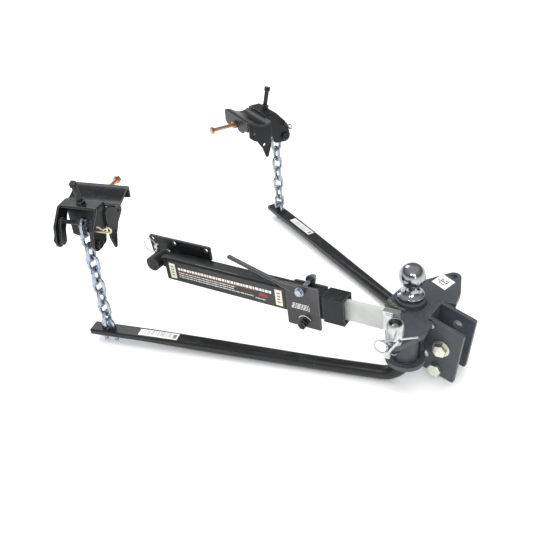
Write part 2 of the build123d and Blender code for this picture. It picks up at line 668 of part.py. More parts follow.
BACK_Z, FACE_Z = CASE_Z[0] - CLAMP_T, CASE_Z[1] + CLAMP_T
HANDLE_T = 6.0
with BuildPart() as handle:
    for start, start_r, end, end_r in (
        (HANDLE_BOLT, 10, (-262, 50), 7),
        ((-262, 50), 4.5, (-396, 90), 4.5),
    ):
        with BuildSketch(sway.offset(FACE_Z + 0.4)):
            with Locations(start):
                Circle(start_r)
            with Locations(end):
                Circle(end_r)
            make_hull()
            with Locations(HANDLE_BOLT):
                Circle(BOLT_R + RUN, mode=Mode.SUBTRACT)
        extrude(amount=HANDLE_T)
save(handle, "on_off_handle")

HANDLE_FACE_Z = FACE_Z + HANDLE_T + 0.8
with BuildPart() as handle_bolt:
    disc_on(sway.offset(BACK_Z - 16), HANDLE_BOLT, BOLT_R, HANDLE_FACE_Z - BACK_Z + 16)
    disc_on(sway.offset(HANDLE_FACE_Z), HANDLE_BOLT, 11, 2)
    hex_on(sway.offset(HANDLE_FACE_Z + 2), HANDLE_BOLT, 15, 6)
    hex_on(sway.offset(BACK_Z), HANDLE_BOLT, 17, -9)
save(handle_bolt, "handle_bolt")

with BuildPart() as adjuster:
    disc_on(sway.offset(BACK_Z - 12), ADJUSTER, BOLT_R, FACE_Z + 0.3 - BACK_Z + 12)
    disc_on(sway.offset(FACE_Z + 0.3), ADJUSTER, 9, 8)
    hex_on(sway.offset(FACE_Z + 8.3), ADJUSTER, 17, 8)
save(adjuster, "adjusting_bolt")

with BuildPart() as adjuster_nut:
    hex_on(sway.offset(BACK_Z), ADJUSTER, 17, -9, bore=BOLT_R + RUN)
save(adjuster_nut, "adjusting_bolt_nut")

REAR_BALL_Z = -10.0
MOUTH_Z, CAP_Z = -32.0, 12.0
FRAME_PLATE_Z = -50.0
REAR_R = 19.0

with BuildPart() as rear_coupler:
    disc_on(sway.offset(MOUTH_Z), REAR_BALL, REAR_R, CAP_Z - MOUTH_Z)
    chamfer(rear_coupler.edges(), 1.5)
    sway_block((REAR_BALL[0] + 14, CASE_REAR), (6, 34), (-24, -11))
    with BuildSketch(sway.offset(MOUTH_Z - 1)):
        with Locations(REAR_BALL):
            Circle(BORE_R)
    extrude(amount=CAP_Z - 4 - MOUTH_Z + 1, mode=Mode.SUBTRACT)
    level = Plane(
        origin=sway.from_local_coords((REAR_BALL[0] - 12.6, REAR_BALL[1] - 24, MOUTH_Z + 3.4)),
        x_dir=sway.x_dir, z_dir=sway.y_dir,
    )
    with BuildSketch(level):
        Circle(2.5 + RUN)
    extrude(amount=60, mode=Mode.SUBTRACT)
save(rear_coupler, "rear_coupler")

with BuildPart() as rear_clip:
    disc_on(level.offset(2), (0, 0), 2.5, 46)
    ring_plane = Plane(origin=level.offset(48).origin, x_dir=sway.x_dir, z_dir=sway.z_dir)
    with BuildSketch(ring_plane.offset(-4)):
        with Locations((0, 3)):
            RectangleRounded(10, 9, 2)
    extrude(amount=8)
    wire_ring(ring_plane, (-20, 2), 19)
save(rear_clip, "rear_clip_pin")

stud = sway.from_local_coords((*REAR_BALL, 0))
with BuildPart() as frame_ball:
    with BuildSketch(Plane(origin=stud, x_dir=sway.x_dir, z_dir=sway.y_dir)):
        # sketch y runs inboard, from the ball to its plate
        with BuildLine():
            join = -REAR_BALL_Z + (SWAY_BALL_R**2 - STUD_R**2) ** 0.5
            tip_y = -REAR_BALL_Z - SWAY_BALL_R
            ThreePointArc((0, tip_y), (SWAY_BALL_R, -REAR_BALL_Z), (STUD_R, join))
            Polyline((STUD_R, join), (STUD_R, -FRAME_PLATE_Z - 4), (11, -FRAME_PLATE_Z),
                     (0, -FRAME_PLATE_Z), (0, tip_y))
        make_face()
    revolve(axis=Axis(stud, sway.z_dir))
save(frame_ball, "frame_sway_ball")

FRAME_HOLES = ((-675, 53), (-605, 53), (-506, 53))
with BuildPart() as frame_plate:
    with BuildSketch(sway.offset(FRAME_PLATE_Z - 6)):
        with BuildLine():
            Polyline(
                (-686, 63), (-494, 63), (-494, 26), (-560, 10), (-600, 4), (-660, 4), (-682, 14), close=True)
        make_face()
        fillet(vertices(), 5)
        with Locations(*FRAME_HOLES):
            Circle(5.2, mode=Mode.SUBTRACT)
    extrude(amount=6)
save(frame_plate, "frame_plate")
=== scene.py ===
import json
import math

import bmesh
import bpy
from mathutils import Matrix, Vector, noise


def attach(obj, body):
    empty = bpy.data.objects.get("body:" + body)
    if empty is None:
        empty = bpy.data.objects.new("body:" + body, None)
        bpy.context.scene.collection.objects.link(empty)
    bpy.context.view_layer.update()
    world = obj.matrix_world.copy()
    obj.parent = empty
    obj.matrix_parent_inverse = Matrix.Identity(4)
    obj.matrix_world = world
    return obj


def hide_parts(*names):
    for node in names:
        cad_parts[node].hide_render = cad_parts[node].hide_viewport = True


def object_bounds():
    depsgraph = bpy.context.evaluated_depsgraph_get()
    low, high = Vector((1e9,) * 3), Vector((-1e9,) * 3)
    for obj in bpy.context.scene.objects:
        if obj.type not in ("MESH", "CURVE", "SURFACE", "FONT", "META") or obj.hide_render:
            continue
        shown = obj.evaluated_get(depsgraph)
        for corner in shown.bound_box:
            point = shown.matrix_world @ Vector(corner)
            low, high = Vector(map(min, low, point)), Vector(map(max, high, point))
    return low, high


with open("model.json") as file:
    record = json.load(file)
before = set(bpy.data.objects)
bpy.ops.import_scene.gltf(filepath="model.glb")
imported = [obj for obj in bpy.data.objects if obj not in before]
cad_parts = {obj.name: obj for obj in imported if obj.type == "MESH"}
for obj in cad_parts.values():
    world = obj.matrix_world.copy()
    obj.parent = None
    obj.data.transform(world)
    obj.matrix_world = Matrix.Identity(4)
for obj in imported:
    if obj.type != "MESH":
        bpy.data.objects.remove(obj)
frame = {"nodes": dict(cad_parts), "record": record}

CAD_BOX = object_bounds()
BOX_LOW, BOX_HIGH = CAD_BOX
NODES = frame["nodes"]
BODY = {
    node: body
    for body, members in frame["record"]["behaviour"]["bodies"].items()
    for node in members
}
SLOT = {item["node"]: item["material_slot"] for item in frame["record"]["subparts"]}
MM = 0.001
UP = Vector((0, 0, 1))

# ======================= materials =======================
EDGE_WEAR_AND_HIGHLIGHT = 2.0 * MM  # how far rubbed paint and the painted edge highlight reach from a sharp edge
DUST = (0.3, 0.3, 0.29)
RUBBED_GREY = (0.22, 0.22, 0.22)


class Look:
    """A procedural material: nodes are added to it step by step, measured in metres."""

    def __init__(self, name, color, metallic, roughness):
        self.material = bpy.data.materials.new(name)
        self.material.use_nodes = True
        self.tree = self.material.node_tree
        self.shader = self.tree.nodes["Principled BSDF"]
        self.shader.inputs["Metallic"].default_value = metallic
        self.place = self.add("ShaderNodeTexCoord").outputs["Object"]
        self.color = self.rgb(color)
        self.rough = self.value(roughness)
        self.height = None

    def add(self, kind, **values):
        node = self.tree.nodes.new(kind)
        for key, value in values.items():
            setattr(node, key, value)
        return node

    def link(self, start, end):
        self.tree.links.new(start, end)

    def rgb(self, color):
        node = self.add("ShaderNodeRGB")
        node.outputs[0].default_value = (*color, 1)
        return node.outputs[0]

    def value(self, number):
        node = self.add("ShaderNodeValue")
        node.outputs[0].default_value = number
        return node.outputs[0]

    def noise(self, size, detail=4.0, stretch=(1, 1, 1), distortion=0.0):
        """Cloudy noise whose features are about size metres across, from 0 to 1."""
        mapping = self.add("ShaderNodeMapping")
        mapping.inputs["Scale"].default_value = stretch
        self.link(self.place, mapping.inputs["Vector"])
        node = self.add("ShaderNodeTexNoise")
        node.inputs["Scale"].default_value = 1 / size
        node.inputs["Detail"].default_value = detail
        node.inputs["Distortion"].default_value = distortion
        self.link(mapping.outputs[0], node.inputs["Vector"])
        return node.outputs["Fac"]

    def ramp(self, source, low, high, end=1.0):
        """A smooth step: 0 where the source is under low, end where it is over high."""
        node = self.add("ShaderNodeMapRange", interpolation_type="SMOOTHSTEP")
        limits = {"From Min": low, "From Max": high, "To Min": 0.0, "To Max": end}
        for key, number in limits.items():
            node.inputs[key].default_value = number
        self.link(source, node.inputs["Value"])
        return node.outputs["Result"]

    def math(self, operation, first, second):
        node = self.add("ShaderNodeMath", operation=operation)
        for socket, item in zip(node.inputs, (first, second)):
            if isinstance(item, (int, float)):
                socket.default_value = item
            else:
                self.link(item, socket)
        return node.outputs[0]

    def upward(self):
        """How far the surface faces up, from 0 to 1."""
        geometry = self.add("ShaderNodeNewGeometry")
        split = self.add("ShaderNodeSeparateXYZ")
        self.link(geometry.outputs["Normal"], split.inputs[0])
        return self.ramp(split.outputs["Z"], 0.2, 1.0)

    def edges(self, radius):
        """How near a sharp edge the surface is, from 0 to 1; radius in metres."""
        soft = self.add("ShaderNodeBevel", samples=4)
        soft.inputs["Radius"].default_value = radius
        geometry = self.add("ShaderNodeNewGeometry")
        dot = self.add("ShaderNodeVectorMath", operation="DOT_PRODUCT")
        self.link(soft.outputs["Normal"], dot.inputs[0])
        self.link(geometry.outputs["Normal"], dot.inputs[1])
        return self.ramp(self.math("SUBTRACT", 1.0, dot.outputs["Value"]), 0.02, 0.16)

    def paint(self, color, where):
        """Mixes a color over what is there."""
        node = self.add("ShaderNodeMix", data_type="RGBA")
        self.link(where, node.inputs["Factor"])
        self.link(self.color, node.inputs["A"])
        self.link(self.rgb(color), node.inputs["B"])
        self.color = node.outputs["Result"]

    def roughen(self, amount, where):
        self.rough = self.math("ADD", self.rough, self.math("MULTIPLY", where, amount))

    def raise_by(self, amount, where):
        """Adds a height in metres for the bump."""
        step = self.math("MULTIPLY", where, amount)
        self.height = step if self.height is None else self.math("ADD", self.height, step)

    def finish(self):
        self.link(self.color, self.shader.inputs["Base Color"])
        self.link(self.rough, self.shader.inputs["Roughness"])
        if self.height is not None:
            bump = self.add("ShaderNodeBump")
            bump.inputs["Distance"].default_value = 1.0
            bump.inputs["Strength"].default_value = 1.0
            self.link(self.height, bump.inputs["Height"])
            self.link(bump.outputs[0], self.shader.inputs["Normal"])
        return self.material


def worn_paint(name, color, roughness, peel=0.00003, coat=0.0, shine=0.2, edge_wear_and_highlight=0.2):
    """Sprayed paint: orange peel, dull patches, rubbed specks, a little dust on top, and sharp edges
    lightened partly as rubbed paint and partly as a painted highlight.
    """
    look = Look(name, color, 0.0, roughness)
    faded = tuple(min(1, c * 1.5 + 0.003) for c in color)
    look.paint(faded, look.ramp(look.noise(0.045), 0.35, 0.75, end=0.7))
    dust = look.ramp(look.noise(0.012, 8), 0.5, 0.8, end=0.05)
    look.paint(DUST, look.math("MULTIPLY", look.upward(), dust))
    specks = look.ramp(look.noise(0.0035, 6), 0.72, 0.80, end=0.4)
    look.paint(RUBBED_GREY, specks)
    # Sharp edges painted lighter: partly rubbed paint, partly a painted highlight along every edge.
    worn_and_highlit_edge = tuple(c * 2 + edge_wear_and_highlight for c in color)
    look.paint(worn_and_highlit_edge, look.math("MULTIPLY", look.edges(EDGE_WEAR_AND_HIGHLIGHT), 0.85))
    look.roughen(0.12, look.noise(0.02))
    look.roughen(0.10, specks)
    look.raise_by(peel, look.noise(0.0022, 2))
    look.raise_by(peel * 2, look.noise(0.02, 2))
    look.shader.inputs["Specular IOR Level"].default_value = shine
    look.shader.inputs["Coat Weight"].default_value = coat
    look.shader.inputs["Coat Roughness"].default_value = 0.2
    look.shader.inputs["IOR"].default_value = 1.5
    return look.finish()


def plated(name, color, tint, roughness):
    """Plated steel: cloudy tint, fine grain and small dull spots."""
    grain = 0.000012
    look = Look(name, color, 1.0, roughness)
    look.paint(tint, look.ramp(look.noise(0.02, 3, distortion=0.6), 0.35, 0.7, end=0.85))
    spots = look.ramp(look.noise(0.0016, 5), 0.62, 0.78, end=0.6)
    look.paint(tuple(c * 0.45 for c in color), spots)
    look.roughen(0.18, look.noise(0.006, 6))
    look.roughen(0.15, spots)
    look.raise_by(grain, look.noise(0.0009, 3))
    look.raise_by(grain * 3, look.noise(0.006, 3))
    return look.finish()


def chrome():
    """Chrome with dark scuffs on top and a few bright specks."""
    look = Look("chrome", (0.37, 0.38, 0.40), 1.0, 0.12)
    look.roughen(0.05, look.ramp(look.noise(0.01, 6), 0.45, 0.8))
    scuffs = look.math("MULTIPLY", look.ramp(look.noise(0.0026, 5), 0.55, 0.62), look.upward())
    look.paint((0.16, 0.16, 0.15), look.ramp(scuffs, 0.5, 0.8, end=0.7))
    look.paint((0.85, 0.85, 0.85), look.ramp(look.noise(0.0015, 5), 0.72, 0.75, end=0.3))
    look.roughen(0.2, scuffs)
    look.raise_by(0.0000012, look.noise(0.008, 2))
    return look.finish()


def flat_print(name, color, roughness=0.45):
    """Printed vinyl: even ink with faint mottling."""
    look = Look(name, color, 0.0, roughness)
    look.paint(tuple(c * 0.8 for c in color), look.ramp(look.noise(0.006, 5), 0.4, 0.8, end=0.5))
    look.roughen(0.1, look.noise(0.004))
    look.raise_by(0.00001, look.noise(0.003))
    return look.finish()


def weld_metal(name, color, bright):
    """A weld's surface, brighter where the soot is rubbed off."""
    look = Look(name, color, 0.3, 0.42)
    look.paint(bright, look.ramp(look.noise(0.003, 5), 0.56, 0.72, end=0.8))
    look.raise_by(0.0001, look.noise(0.0015, 3))
    return look.finish()


def lining():
    look = Look("brake_lining", (0.10, 0.085, 0.075), 0.0, 0.85)
    look.paint((0.24, 0.2, 0.16), look.ramp(look.noise(0.001, 6), 0.55, 0.7, end=0.7))
    look.raise_by(0.00008, look.noise(0.0012, 4))
    return look.finish()


def pale_paint():
    """The slider bar's pale finish, scratched lengthwise by the brake pads."""
    look = Look("pale_grey_paint", (0.40, 0.41, 0.385), 0.15, 0.40)
    look.paint((0.48, 0.49, 0.465), look.ramp(look.noise(0.05, 3), 0.35, 0.7))
    scratches = look.ramp(look.noise(0.0012, 5, stretch=(0.05, 1, 1)), 0.63, 0.72, end=0.5)
    look.paint((0.33, 0.33, 0.32), scratches)
    look.roughen(0.12, look.noise(0.004))
    look.raise_by(0.00003, look.noise(0.002, 3))
    return look.finish()


# Paint: color, roughness and what differs from the usual. Plating: color, tint, roughness.
PAINTS = {
    "black_paint": ((0.007, 0.0073, 0.008), 0.32, dict(coat=0.12)),
    "charcoal_paint": ((0.036, 0.041, 0.047), 0.42, dict(coat=0.05, shine=0.45, edge_wear_and_highlight=0.09)),
    "bar_paint": (
        (0.004, 0.004, 0.0045), 0.34, dict(peel=0.000015, coat=0.12, shine=0.4, edge_wear_and_highlight=0.04),
    ),
    "clamp_paint": ((0.036, 0.036, 0.037), 0.3, dict(coat=0.3)),
    "dark_grey_steel": ((0.04, 0.041, 0.043), 0.35, dict(coat=0.1)),
    "black_oxide": ((0.006, 0.006, 0.006), 0.3, {}),
}
PLATINGS = {
    "blue_zinc": ((0.40, 0.455, 0.51), (0.26, 0.31, 0.37), 0.18),
    "silver_zinc": ((0.58, 0.59, 0.585), (0.44, 0.45, 0.44), 0.26),
    "yellow_white_zinc": ((0.78, 0.76, 0.66), (0.60, 0.62, 0.58), 0.25),
    "copper_zinc": ((0.55, 0.34, 0.21), (0.42, 0.24, 0.14), 0.25),
    "gold_zinc": ((0.72, 0.65, 0.43), (0.56, 0.48, 0.3), 0.22),
    "machined_ball": ((0.40, 0.40, 0.41), (0.28, 0.28, 0.29), 0.22),
}
LOOKS = {
    name: worn_paint(name, color, rough, **more) for name, (color, rough, more) in PAINTS.items()
}
LOOKS |= {name: plated(name, *values) for name, values in PLATINGS.items()}
LOOKS |= {"chrome_ball": chrome(), "brake_lining": lining(), "pale_grey_paint": pale_paint()}
WELD = weld_metal("weld_metal", (0.018, 0.018, 0.02), (0.16, 0.155, 0.15))
BARE_WELD = weld_metal("bare_weld_metal", (0.075, 0.066, 0.057), (0.45, 0.43, 0.39))
WHITE = flat_print("label_white", (0.78, 0.78, 0.74))
CREAM = flat_print("label_cream", (0.76, 0.73, 0.58))
GREY_INK = flat_print("label_grey_ink", (0.18, 0.18, 0.17))
RED_INK = flat_print("label_red_ink", (0.28, 0.035, 0.03))
DARK_FILM = flat_print("label_dark_film", (0.02, 0.017, 0.016), 0.25)
BLACK_INK = flat_print("label_black_ink", (0.012, 0.012, 0.012))

# ======================= pieces =======================
WELD_GAP = 0.004 * MM  # CAD vertices closer than this are one
FLAT_ANGLE = math.radians(0.6)  # faces that turn less than this become one flat face
SHARP_ANGLE = math.radians(38)  # edges that turn more than this are rounded off


def new_piece(name, mesh_or_bm, material, body, smooth_angle=35):
    """A finished object with its material, riding on a body."""
    if isinstance(mesh_or_bm, bmesh.types.BMesh):
        mesh = bpy.data.meshes.new(name)
        mesh_or_bm.to_mesh(mesh)
        mesh_or_bm.free()
    else:
        mesh = mesh_or_bm
    mesh.materials.clear()
    mesh.materials.append(material)
    if smooth_angle:
        mesh.shade_smooth()
        mesh.set_sharp_from_angle(angle=math.radians(smooth_angle))
    piece = bpy.data.objects.new(name, mesh)
    bpy.context.scene.collection.objects.link(piece)
    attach(piece, body)
    return piece


def bevelled(mesh, width):
    """The mesh with its sharp edges rounded and its flat faces shaded flat, as a new mesh."""
    mesh.shade_smooth()
    helper = bpy.data.objects.new("bevel_helper", mesh)
    bpy.context.scene.collection.objects.link(helper)
    bevel = helper.modifiers.new("round", "BEVEL")
    bevel.width = width
    bevel.segments = 2
    bevel.limit_method = "ANGLE"
    bevel.angle_limit = SHARP_ANGLE
    bevel.loop_slide = False
    helper.modifiers.new("even_shading", "WEIGHTED_NORMAL")
    bpy.context.view_layer.update()
    shape = helper.evaluated_get(bpy.context.evaluated_depsgraph_get())
    result = bpy.data.meshes.new_from_object(shape)
    bpy.data.objects.remove(helper)
    return result


def refined(node, width):
    """Stands for a CAD node: the same shape with its machined edges rounded off."""
    bm = bmesh.new()
    bm.from_mesh(NODES[node].data)
    bmesh.ops.remove_doubles(bm, verts=bm.verts, dist=WELD_GAP)
    bmesh.ops.dissolve_limit(bm, angle_limit=FLAT_ANGLE, verts=bm.verts, edges=bm.edges)
    mesh = bpy.data.meshes.new(node + "_refined")
    bm.to_mesh(mesh)
    bm.free()
    mesh = bevelled(mesh, width)
    look = LOOKS[SLOT[node]]
    piece = new_piece(node + "_finished", mesh, look, BODY[node], smooth_angle=None)
    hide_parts(node)
    return piece


# Width of the rounded edge in millimetres, where it isn't the usual one.
EDGE = {
    "wing_plate": 1.2, "ball_plate": 1.2, "bottom_plate": 1.2, "friction_case": 1.2,
    "on_off_handle": 1.2, "left_cheek": 1.0, "right_cheek": 1.0, "left_bracket_saddle": 1.0,
    "right_bracket_saddle": 1.0, "shank_washers": 0.6, "rear_clip_pin": 0.5, "brake_pads": 0.3,
}
USUAL_EDGE = 0.7
# Round pieces: their CAD mesh is kept, because there is no sharp edge to soften.
ROUND_NODES = (
    "left_lift_chain", "right_lift_chain", "left_chain_top_link", "right_chain_top_link",
    "left_u_bolt", "right_u_bolt", "left_hair_pin", "right_hair_pin", "front_clip_pin",
)
TURNED_NODES = ("hitch_ball", "head_sway_ball")


def shaded_cad(node):
    """A CAD node whose shape is right keeps it, and gets the better material."""
    for item in NODES[node].material_slots:
        item.material = LOOKS[SLOT[node]]


for node in sorted(NODES):
    if node in ROUND_NODES:
        shaded_cad(node)
    elif node not in TURNED_NODES:
        refined(node, EDGE.get(node, USUAL_EDGE) * MM)

# ======================= local frames, in millimetres =======================
SPLAY = math.radians(21.9)  # each spring bar, from straight back
SIDES = {"left": 1, "right": -1}
SOCKET = (36, 81)
BAR_REACH, BAR_TOP, TIP_T = 726, -137, 15
SWAY_BALL_X, SWAY_BALL_Y = 38, -140
SLIDER_Z = 15
SWAY_YAW, SWAY_PITCH = math.radians(6.4), math.radians(3.7)


def mm(x, y, z):
    return Vector((x, y, z)) * MM


def rail_frame(turn):
    """Matrix of a lift bracket's axes: forward along the rail, outboard, up."""
    ahead = Vector((math.cos(SPLAY), -turn * math.sin(SPLAY), 0))
    outboard = Vector((math.sin(SPLAY), turn * math.cos(SPLAY), 0))
    start = Vector((SOCKET[0], turn * SOCKET[1], 0)) - ahead * BAR_REACH
    return Matrix.Translation(start * MM) @ Matrix((ahead, outboard, UP)).transposed().to_4x4()


def bar_frame(turn):
    """Matrix of a spring bar's axes: towards its tip, across outboard, up, from its socket."""
    reach = Vector((-math.cos(SPLAY), turn * math.sin(SPLAY), 0))
    outboard = Vector((math.sin(SPLAY), turn * math.cos(SPLAY), 0))
    start = Vector((SOCKET[0], turn * SOCKET[1], BAR_TOP))
    return Matrix.Translation(start * MM) @ Matrix((reach, outboard, UP)).transposed().to_4x4()


def sway_frame(yaw, pitch):
    """Matrix of the sway control's axes: forward along the slider, up, outboard."""
    level = math.cos(pitch)
    ahead = Vector((math.cos(yaw) * level, math.sin(yaw) * level, math.sin(pitch)))
    outboard = Vector((math.sin(yaw), -math.cos(yaw), 0))
    start = mm(SWAY_BALL_X, SWAY_BALL_Y, SLIDER_Z)
    above = outboard.cross(ahead)
    return Matrix.Translation(start) @ Matrix((ahead, above, outboard)).transposed().to_4x4()


RAIL = {side: rail_frame(turn) for side, turn in SIDES.items()}
BAR = {side: bar_frame(turn) for side, turn in SIDES.items()}
SWAY = sway_frame(SWAY_YAW, SWAY_PITCH)
WORLD = Matrix.Identity(4)


def local(frame_matrix, x, y, z):
    """A point of a local frame, given in millimetres."""
    return frame_matrix @ mm(x, y, z)


def heading(frame_matrix, x, y, z):
    """A direction of a local frame."""
    return frame_matrix.to_3x3() @ Vector((x, y, z))


def shifted(frame_matrix, x, y, z):
    """The frame with its origin moved by millimetres along its own axes."""
    return frame_matrix @ Matrix.Translation(mm(x, y, z))


def placed(bm, frame_matrix):
    """Puts local geometry into the row frame, right way out even in a mirrored frame."""
    bm.transform(frame_matrix)
    if frame_matrix.to_3x3().determinant() < 0:
        bmesh.ops.reverse_faces(bm, faces=bm.faces)
    return bm


def axis_matrix(start, direction, hint=None):
    """Matrix whose z axis runs along a direction, from a point in metres; hint is near its x."""
    z = Vector(direction).normalized()
    x = Vector(hint) if hint else z.orthogonal()
    x = (x - z * x.dot(z)).normalized()
    return Matrix.Translation(Vector(start)) @ Matrix((x, z.cross(x), z)).transposed().to_4x4()


def skin(bm, rings):
    """Joins rings of points into a tube with closed ends."""
    loops = [[bm.verts.new(point) for point in ring] for ring in rings]
    for near, far in zip(loops, loops[1:]):
        count = len(near)
        for i in range(count):
            j = (i + 1) % count
            bm.faces.new((near[i], near[j], far[j], far[i]))
    bm.faces.new(list(reversed(loops[0])))
    bm.faces.new(loops[-1])


def circle(radius, z, count):
    angles = [math.tau * i / count for i in range(count)]
    return [Vector((radius * math.cos(angle), radius * math.sin(angle), z)) for angle in angles]


def turned(node, profile, matrix, count):
    """Stands for a CAD node: lathe-turned from (radius, z) in millimetres, bottom to top."""
    bm = bmesh.new()
    skin(bm, [circle(radius * MM, z * MM, count) for radius, z in profile])
    look = LOOKS[SLOT[node]]
    piece = new_piece(node + "_turned", placed(bm, matrix), look, BODY[node], 40)
    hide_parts(node)
    return piece


def sphere_profile(radius, centre, start, stop, steps=40):
    """Points of a ball between two angles from straight down, in degrees."""
    angles = (math.radians(start + (stop - start) * i / steps) for i in range(steps + 1))
    return [(radius * math.sin(angle), centre - radius * math.cos(angle)) for angle in angles]


def bend(start, corner, stop, steps):
    """Points of a curve from start to stop that leans into the corner between them."""
    times = [i / steps for i in range(steps + 1)]
    return [tuple(start * (1 - t) ** 2 + corner * 2 * t * (1 - t) + stop * t**2) for t in times]


def rounded(points, radius, steps=5):
    """The (radius, z) corners of an open profile, each rounded off."""
    result = [points[0]]
    for before, corner, after in zip(points, points[1:], points[2:]):
        a, c, b = (Vector(p) for p in (before, corner, after))
        cut = min(radius, (a - c).length * 0.45, (b - c).length * 0.45)
        start, stop = c + (a - c).normalized() * cut, c + (b - c).normalized() * cut
        result += bend(start, c, stop, steps)
    result.append(points[-1])
    return result


def rounded_loop(corners, radius, steps=4):
    """The corners of a closed outline, each rounded off."""
    result = []
    count = len(corners)
    for i in range(count):
        a, c, b = (Vector(corners[(i + k) % count]) for k in (-1, 0, 1))
        start, stop = c + (a - c).normalized() * radius, c + (b - c).normalized() * radius
        result += bend(start, c, stop, steps)
    return result


# ======================= turned balls =======================
BALL_R, BALL_Z, NECK_R = 29.35, 57, 17
BALL_FLAT = math.radians(14)  # half the angle that the flat on top takes of the ball
BALL_FOOT = [(0.1, -66), (14, -66)]
BALL_STEM = [(15.875, -64), (15.875, 0), (27, 0), (27, 5), (30, 5), (30, 10.2), (22.5, 14.5),
             (18.6, 20), (17.2, 26), (NECK_R, 30)]
SWAY_BALL_R, SWAY_BALL_Z, STUD_R = 15.875, 17, 8
SWAY_BALL_FOOT = [(0.1, -44), (7, -44), (STUD_R, -43)]
SWAY_BALL_STEM = [(STUD_R, -42), (STUD_R, -12), (17, -12), (17, -4), (11, -2.2), (STUD_R, -0.5),
                  (STUD_R, 3)]


def neck_angle(neck, ball):
    return math.degrees(math.asin(neck / ball))


flat_z = BALL_Z + BALL_R * math.cos(BALL_FLAT)
flat_rim = [(BALL_R * math.sin(BALL_FLAT) - 0.8, flat_z), (0.1, flat_z)]
ball_from, ball_to = neck_angle(NECK_R, BALL_R), 180 - math.degrees(BALL_FLAT)
ball_sphere = sphere_profile(BALL_R, BALL_Z, ball_from, ball_to, 60)
turned("hitch_ball", BALL_FOOT + rounded(BALL_STEM, 1.6) + ball_sphere + flat_rim, WORLD, 128)

sway_sphere = sphere_profile(SWAY_BALL_R, SWAY_BALL_Z, neck_angle(STUD_R, SWAY_BALL_R), 180)[:-1]
turned("head_sway_ball", SWAY_BALL_FOOT + rounded(SWAY_BALL_STEM, 0.8) + sway_sphere,
       Matrix.Translation(mm(SWAY_BALL_X, SWAY_BALL_Y, 0)), 64)


# ======================= threads =======================
SCREW_TILT = math.radians(13)
SET_SCREW_SEAT = (-11, -26, 195)  # where the set screw passes the bracket's top plate
ABOVE_NUTS = 17  # how far up from there its thread starts, clear of the nut
U_HALF, U_LEG = 14, 19.6  # half the U-bolt's span, and its legs' reach under the bar
RAIL_BOLT_START = (-12, -96.6, 173)
SHANK_NUT_Y, BALL_STUD_Z = 56.2, -65  # where those threads start
SHANK_BOLTS = {"upper_shank_bolt": (98, -76), "lower_shank_bolt": (90, -138)}
HANDLE_BOLT, ADJUSTER = (-217, 43), (-215, -42)


def thread(name, node, start, direction, radius, length, pitch=1.75, sides=28):
    """A sleeve of screw thread on a plain shank; start in metres, sizes in millimetres."""
    bm = bmesh.new()
    rows = max(4, int(length / pitch * 6))
    depth = pitch * 0.42
    rings = []
    for row in range(rows + 1):
        z = length * row / rows
        ring = []
        for i in range(sides):
            angle = math.tau * i / sides
            turns = z / pitch - i / sides
            wave = abs((turns % 1) * 2 - 1)
            taper = min(1, z / pitch, (length - z) / pitch)
            r = radius - depth * 0.5 + depth * (0.55 + wave * 0.5) * max(taper, 0.0)
            ring.append(Vector((r * MM * math.cos(angle), r * MM * math.sin(angle), z * MM)))
        rings.append(ring)
    skin(bm, rings)
    placed(bm, axis_matrix(start, direction))
    return new_piece(name, bm, LOOKS[SLOT[node]], BODY[node], 50)


for side in SIDES:
    rail, bar = RAIL[side], BAR[side]
    tilt = heading(rail, 0, math.sin(SCREW_TILT), math.cos(SCREW_TILT))
    screw_start = local(rail, *SET_SCREW_SEAT) + tilt * ABOVE_NUTS * MM
    thread(f"{side}_set_screw_thread", f"{side}_set_screw", screw_start, tilt,
           radius=6.0, length=34)
    for number, offset in enumerate((-U_HALF, U_HALF)):
        foot = local(bar, BAR_REACH + offset, 0, -TIP_T - U_LEG)
        thread(f"{side}_u_bolt_thread_{number}", f"{side}_u_bolt", foot, UP,
               radius=5.0, length=10.4, pitch=1.25)
    inboard = heading(rail, 0, -1, 0)
    thread(f"{side}_rail_bolt_thread", "rail_bolts", local(rail, *RAIL_BOLT_START), inboard,
           radius=5.5, length=19, pitch=1.5)
for number, (node, (x, z)) in enumerate(SHANK_BOLTS.items()):
    thread(f"shank_thread_{number}", node, mm(x, SHANK_NUT_Y, z), (0, 1, 0),
           radius=9.5, length=3.6, pitch=2.0)
thread("ball_stud_thread", "hitch_ball", mm(0, 0, BALL_STUD_Z), UP,
       radius=15.9, length=9, pitch=2.0, sides=48)
along_bolts = heading(SWAY, 0, 0, 1)
thread("handle_bolt_thread", "handle_bolt", local(SWAY, *HANDLE_BOLT, -64.2), along_bolts,
       radius=5.0, length=6.4, pitch=1.5)
thread("adjusting_bolt_thread", "adjusting_bolt", local(SWAY, *ADJUSTER, -60.2), along_bolts,
       radius=5.0, length=2.6, pitch=1.2)

# ======================= welds =======================
HEAD = "head_and_frame"
BEAD_STEP = 0.7  # length of bead per ring of the mesh
RIPPLE = 3.2  # length of one ripple
RING_POINTS = 60


def weld_bead(name, body, path, width, seed, material=WELD):
    """A rippled bead along a path of points in metres; width in millimetres."""
    points = [Vector(p) for p in path]
    dense = []
    for start, stop in zip(points, points[1:]):
        steps = max(1, int((stop - start).length / (BEAD_STEP * MM)))
        dense += [start.lerp(stop, i / steps) for i in range(steps)]
    dense.append(points[-1])
    bm = bmesh.new()
    rings, travelled = [], 0.0
    last = len(dense) - 1
    for i, point in enumerate(dense):
        ahead = (dense[min(i + 1, last)] - dense[max(i - 1, 0)]).normalized()
        if i:
            travelled += (point - dense[i - 1]).length
        ripple = abs(math.sin(travelled / MM * math.pi / RIPPLE)) ** 0.6
        lump = noise.noise(point * 300 + Vector((seed, 0, 0)))
        radius = width / 2 * MM * (0.80 + 0.16 * ripple + 0.12 * lump)
        radius *= min(1, 0.35 + i * 0.2, 0.35 + (last - i) * 0.2)
        matrix = axis_matrix(point, ahead, UP if abs(ahead.z) < 0.9 else (1, 0, 0))
        rings.append([matrix @ p for p in circle(radius, 0, 10)])
    skin(bm, rings)
    return new_piece(name, bm, material, body, 60)


